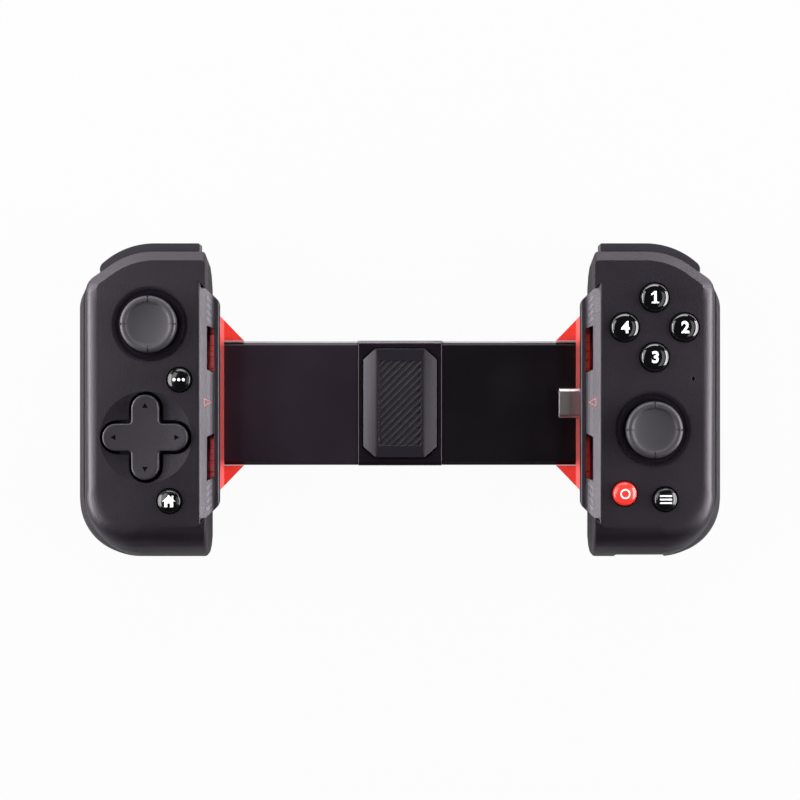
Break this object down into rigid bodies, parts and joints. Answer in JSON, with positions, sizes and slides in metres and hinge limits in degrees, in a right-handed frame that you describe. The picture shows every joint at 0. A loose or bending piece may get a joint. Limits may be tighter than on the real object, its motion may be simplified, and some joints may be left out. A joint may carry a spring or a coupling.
{
  "type": "telescopic phone gamepad",
  "caption": "Gamepad grips on a telescopic spring-loaded bridge that clamps a phone, with thumbsticks, cross pad, round buttons, bumpers, triggers and a plug for the phone.",
  "frame": {"origin": "centre of the resting plane, under the middle of the bridge, with the halves closed", "axes": "+X along the bridge to the right grip, +Y to the bumpers, +Z out of the face"},
  "size_m": [0.1784, 0.0859, 0.0342],
  "materials": {
    "housing": "fine matt",
    "bridge": "satin",
    "pad_rubber": "matt",
    "liner_rubber": "satin",
    "slide_metal": "satin",
    "gear_plastic": "smooth",
    "steel": "bright",
    "ribbon_film": "smooth film",
    "board": "lacquered",
    "membrane_rubber": "matt",
    "gimbal_plastic": "smooth",
    "stick_rubber": "satin",
    "button_plastic": "polished",
    "cross_plastic": "satin",
    "trigger_plastic": "satin",
    "red_plastic": "polished",
    "connector_metal": "polished"
  },
  "bodies": {
    "bridge": {"bridge_front_cover": "bridge", "bridge_back_cover": "bridge", "grip_pad": "pad_rubber", "slide_tray": "slide_metal", "slide_cover": "slide_metal", "left_return_spring": "steel", "right_return_spring": "steel", "flex_ribbon": "ribbon_film"},
    "pinion": {"sync_pinion": "gear_plastic"},
    "left_half": {"left_front_shell": "housing", "left_back_shell": "housing", "left_bridge_sleeve": "bridge", "left_rack": "gear_plastic", "left_phone_liner": "liner_rubber", "left_circuit_board": "board", "left_button_membrane": "membrane_rubber", "left_screws": "steel", "left_stick_base": "gimbal_plastic", "left_trigger_pin": "steel"},
    "right_half": {"right_front_shell": "housing", "right_back_shell": "housing", "right_bridge_sleeve": "bridge", "right_rack": "gear_plastic", "right_phone_liner": "liner_rubber", "right_circuit_board": "board", "right_button_membrane": "membrane_rubber", "right_screws": "steel", "right_stick_base": "gimbal_plastic", "right_trigger_pin": "steel", "usb_c_plug": "connector_metal", "plug_carrier": "bridge", "charge_port": "connector_metal"},
    "left_stick_ring": {"left_stick_ring": "gimbal_plastic"},
    "left_stick_rocker": {"left_stick_rocker": "gimbal_plastic"},
    "left_stick_cap": {"left_stick_cap": "stick_rubber"},
    "left_bumper": {"left_bumper": "trigger_plastic"},
    "left_trigger": {"left_trigger": "trigger_plastic"},
    "right_stick_ring": {"right_stick_ring": "gimbal_plastic"},
    "right_stick_rocker": {"right_stick_rocker": "gimbal_plastic"},
    "right_stick_cap": {"right_stick_cap": "stick_rubber"},
    "right_bumper": {"right_bumper": "trigger_plastic"},
    "right_trigger": {"right_trigger": "trigger_plastic"},
    "dpad_rocker": {"dpad_rocker": "gimbal_plastic"},
    "dpad_cross": {"dpad_cross": "cross_plastic"},
    "dots_button": {"dots_button": "button_plastic"},
    "home_button": {"home_button": "button_plastic"},
    "face_button_top": {"face_button_top": "button_plastic"},
    "face_button_left": {"face_button_left": "button_plastic"},
    "face_button_right": {"face_button_right": "button_plastic"},
    "face_button_bottom": {"face_button_bottom": "button_plastic"},
    "red_button": {"red_button": "red_plastic"},
    "menu_button": {"menu_button": "button_plastic"}
  },
  "joints": [
    {"name": "left_slide", "type": "slide", "parent": "bridge", "child": "left_half", "axis": [-1, 0, 0], "range_m": [0, 0.033], "stiffness_N_per_m": 60, "springref_m": -0.05, "deforming": ["left_return_spring", "flex_ribbon"]},
    {"name": "right_slide", "type": "slide", "parent": "bridge", "child": "right_half", "axis": [1, 0, 0], "range_m": [0, 0.033], "stiffness_N_per_m": 60, "springref_m": -0.05, "deforming": ["right_return_spring"]},
    {"name": "pinion_spin", "type": "hinge", "parent": "bridge", "child": "pinion", "pos_m": [0, -0.00095, 0], "axis": [0, 0, 1], "range_deg": [0, 316]},
    {"name": "left_stick_left_right", "type": "hinge", "parent": "left_half", "child": "left_stick_ring", "pos_m": [-0.0676, 0.0203, 0.018], "axis": [0, 1, 0], "range_deg": [-12, 12], "stiffness_Nm_per_rad": 0.03},
    {"name": "left_stick_up_down", "type": "hinge", "parent": "left_stick_ring", "child": "left_stick_rocker", "pos_m": [-0.0676, 0.0203, 0.018], "axis": [1, 0, 0], "range_deg": [-12, 12], "stiffness_Nm_per_rad": 0.03},
    {"name": "left_stick_click", "type": "slide", "parent": "left_stick_rocker", "child": "left_stick_cap", "axis": [0, 0, -1], "range_m": [0, 0.0005], "stiffness_N_per_m": 1500, "springref_m": -0.001},
    {"name": "left_bumper_press", "type": "hinge", "parent": "left_half", "child": "left_bumper", "pos_m": [-0.0572, 0.0384, 0.0194], "axis": [0, 0, 1], "range_deg": [0, 2.2], "stiffness_Nm_per_rad": 0.5, "springref_deg": -2.86},
    {"name": "left_trigger_pull", "type": "hinge", "parent": "left_half", "child": "left_trigger", "pos_m": [-0.0652, 0.034, 0.0114], "axis": [-1, 0, 0], "range_deg": [0, 12], "stiffness_Nm_per_rad": 0.05, "springref_deg": -11.46},
    {"name": "right_stick_left_right", "type": "hinge", "parent": "right_half", "child": "right_stick_ring", "pos_m": [0.0683, -0.0081, 0.018], "axis": [0, 1, 0], "range_deg": [-12, 12], "stiffness_Nm_per_rad": 0.03},
    {"name": "right_stick_up_down", "type": "hinge", "parent": "right_stick_ring", "child": "right_stick_rocker", "pos_m": [0.0683, -0.0081, 0.018], "axis": [1, 0, 0], "range_deg": [-12, 12], "stiffness_Nm_per_rad": 0.03},
    {"name": "right_stick_click", "type": "slide", "parent": "right_stick_rocker", "child": "right_stick_cap", "axis": [0, 0, -1], "range_m": [0, 0.0005], "stiffness_N_per_m": 1500, "springref_m": -0.001},
    {"name": "right_bumper_press", "type": "hinge", "parent": "right_half", "child": "right_bumper", "pos_m": [0.0572, 0.0384, 0.0194], "axis": [0, 0, -1], "range_deg": [0, 2.2], "stiffness_Nm_per_rad": 0.5, "springref_deg": -2.86},
    {"name": "right_trigger_pull", "type": "hinge", "parent": "right_half", "child": "right_trigger", "pos_m": [0.0652, 0.034, 0.0114], "axis": [-1, 0, 0], "range_deg": [0, 12], "stiffness_Nm_per_rad": 0.05, "springref_deg": -11.46},
    {"name": "dpad_up_down", "type": "hinge", "parent": "left_half", "child": "dpad_rocker", "pos_m": [-0.0689, -0.0102, 0.0208], "axis": [1, 0, 0], "range_deg": [-3, 3], "stiffness_Nm_per_rad": 0.06},
    {"name": "dpad_left_right", "type": "hinge", "parent": "dpad_rocker", "child": "dpad_cross", "pos_m": [-0.0689, -0.0102, 0.0225], "axis": [0, 1, 0], "range_deg": [-3, 3], "stiffness_Nm_per_rad": 0.06},
    {"name": "dots_button_press", "type": "slide", "parent": "left_half", "child": "dots_button", "axis": [0, 0, -1], "range_m": [0, 0.0006], "stiffness_N_per_m": 600, "springref_m": -0.0008},
    {"name": "home_button_press", "type": "slide", "parent": "left_half", "child": "home_button", "axis": [0, 0, -1], "range_m": [0, 0.0006], "stiffness_N_per_m": 600, "springref_m": -0.0008},
    {"name": "face_button_top_press", "type": "slide", "parent": "right_half", "child": "face_button_top", "axis": [0, 0, -1], "range_m": [0, 0.0008], "stiffness_N_per_m": 600, "springref_m": -0.0008},
    {"name": "face_button_left_press", "type": "slide", "parent": "right_half", "child": "face_button_left", "axis": [0, 0, -1], "range_m": [0, 0.0008], "stiffness_N_per_m": 600, "springref_m": -0.0008},
    {"name": "face_button_right_press", "type": "slide", "parent": "right_half", "child": "face_button_right", "axis": [0, 0, -1], "range_m": [0, 0.0008], "stiffness_N_per_m": 600, "springref_m": -0.0008},
    {"name": "face_button_bottom_press", "type": "slide", "parent": "right_half", "child": "face_button_bottom", "axis": [0, 0, -1], "range_m": [0, 0.0008], "stiffness_N_per_m": 600, "springref_m": -0.0008},
    {"name": "red_button_press", "type": "slide", "parent": "right_half", "child": "red_button", "axis": [0, 0, -1], "range_m": [0, 0.0006], "stiffness_N_per_m": 600, "springref_m": -0.0008},
    {"name": "menu_button_press", "type": "slide", "parent": "right_half", "child": "menu_button", "axis": [0, 0, -1], "range_m": [0, 0.0006], "stiffness_N_per_m": 600, "springref_m": -0.0008}
  ],
  "couplings": [
    {"joint": "right_slide", "follows": "left_slide", "ratio": 1},
    {"joint": "pinion_spin", "follows": "left_slide", "rad_per_m": 166.67}
  ]
}
